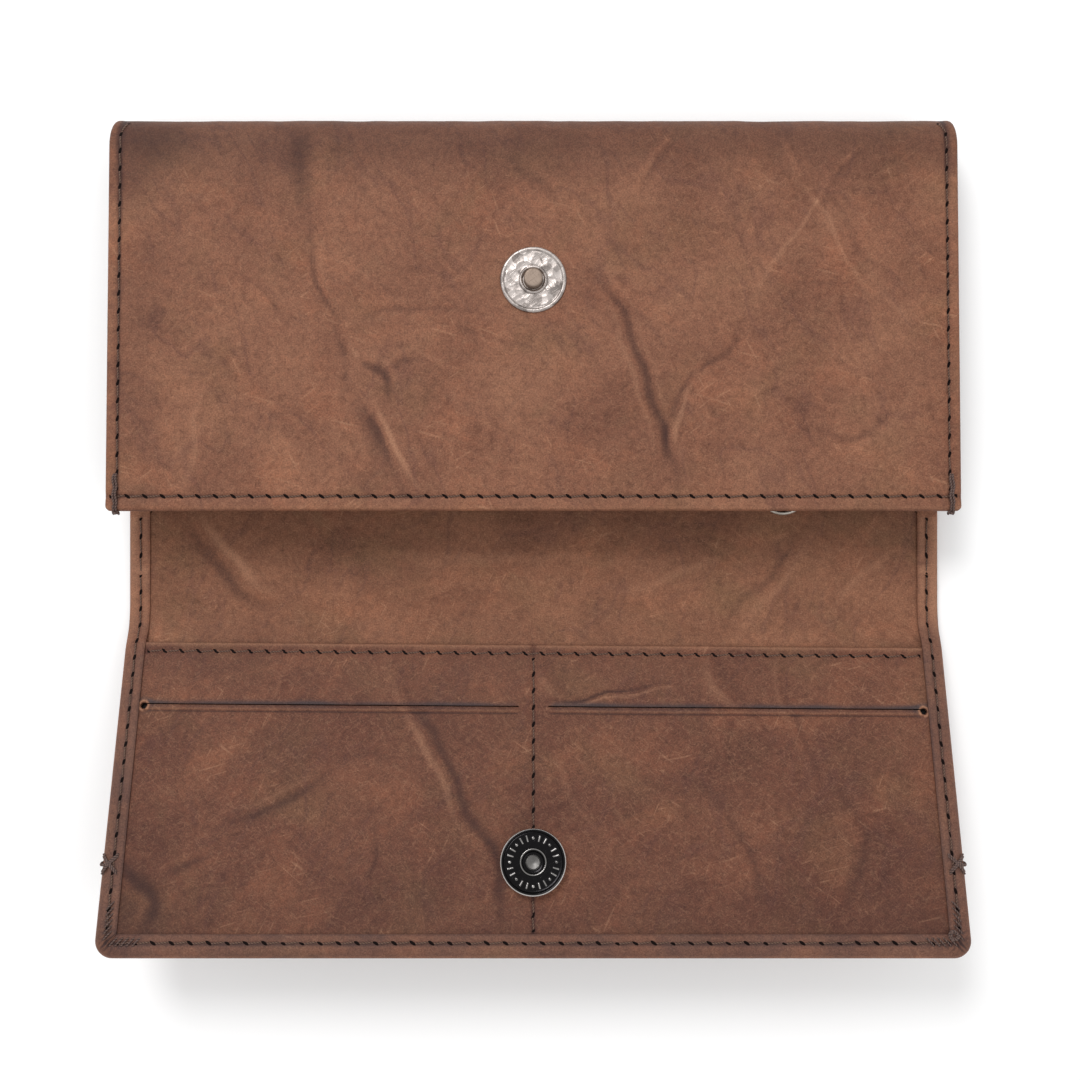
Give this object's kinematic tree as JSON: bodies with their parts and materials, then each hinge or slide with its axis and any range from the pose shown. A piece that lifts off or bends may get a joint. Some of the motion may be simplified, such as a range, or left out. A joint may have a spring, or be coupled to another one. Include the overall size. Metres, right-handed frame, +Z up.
{
  "type": "long wallet",
  "caption": "Long wallet lying open: snap flap with card slits, folding spine and a gusseted note pouch with a zipped coin pocket.",
  "frame": {"origin": "under the middle of the open wallet, on the surface that it rests on", "axes": "+X along the fold lines, +Y from the flap to the closed end of the pouch, +Z up"},
  "size_m": [0.1926, 0.1891, 0.0279],
  "materials": {
    "outer_leather": "marbled pull-up leather, satin",
    "inner_leather": "thin lining leather, satin",
    "card_leather": "thin marbled leather, satin",
    "gusset_leather": "thin soft leather, satin",
    "slot_lining": "fine brown lining cloth, matte",
    "thread": "waxed dark brown thread",
    "stiffener": "grey-brown board, matte",
    "zip_tape": "woven dark brown tape",
    "zip_metal": "tarnished light metal",
    "pull_metal": "nickel plate",
    "snap_nickel": "worn bright nickel plate",
    "snap_black_nickel": "worn black nickel plate",
    "snap_magnet": "plated magnet",
    "hidden_steel": "plain plated steel"
  },
  "bodies": {
    "pouch": {"back_panel": "outer_leather", "back_lining": "inner_leather", "closed_end_turn": "outer_leather", "closed_end_lining": "inner_leather", "back_seam_threads": "thread", "left_gusset": "gusset_leather", "right_gusset": "gusset_leather", "coin_pocket_rear_wall": "gusset_leather", "coin_pocket_front_wall": "gusset_leather", "coin_pocket_seam_threads": "thread", "zip_tape_mouth_side": "zip_tape", "zip_tape_inner_side": "zip_tape", "zip_teeth_mouth_side": "zip_metal", "zip_teeth_inner_side": "zip_metal", "zip_end_stops": "zip_metal"},
    "zip_slider": {"zip_slider": "pull_metal"},
    "pull_ring": {"pull_ring": "pull_metal"},
    "pouch_front": {"front_panel": "outer_leather", "front_lining": "inner_leather", "mouth_hem_thread": "thread", "left_seam_thread": "thread", "right_seam_thread": "thread", "mouth_backtacks": "thread", "snap_stud": "snap_nickel", "snap_stud_washer": "hidden_steel"},
    "spine": {"spine_leather": "outer_leather", "spine_lining": "inner_leather", "spine_seam_threads": "thread"},
    "flap": {"flap_leather": "outer_leather", "flap_board": "stiffener", "flap_lining": "inner_leather", "card_panel": "card_leather", "left_slot_liner": "slot_lining", "right_slot_liner": "slot_lining", "snap_socket_case": "snap_black_nickel", "snap_socket_magnet": "snap_magnet", "snap_socket_rivet": "hidden_steel", "snap_socket_washer": "hidden_steel", "card_edge_thread": "thread", "card_divider_thread": "thread", "flap_edge_thread": "thread", "flap_bartacks": "thread"}
  },
  "joints": [
    {"name": "spine_fold", "type": "hinge", "parent": "pouch", "child": "spine", "pos_m": [0, -0.0006, 0.002], "axis": [-1, 0, 0], "range_deg": [0, 90]},
    {"name": "flap_fold", "type": "hinge", "parent": "spine", "child": "flap", "pos_m": [0, -0.0208, 0.002], "axis": [-1, 0, 0], "range_deg": [-18, 72]},
    {"name": "mouth_open", "type": "hinge", "parent": "pouch", "child": "pouch_front", "pos_m": [0, 0.08665, 0.0158], "axis": [1, 0, 0], "range_deg": [-12, 2], "deforming": ["left_gusset", "right_gusset"]},
    {"name": "zip_slide", "type": "slide", "parent": "pouch", "child": "zip_slider", "axis": [1, 0, 0], "range_m": [-0.123, 0.013]},
    {"name": "ring_swing", "type": "hinge", "parent": "zip_slider", "child": "pull_ring", "pos_m": [0.0572, 0.01345, 0.01185], "axis": [0, 0.0157, 0.9999], "range_deg": [-10, 80]}
  ]
}
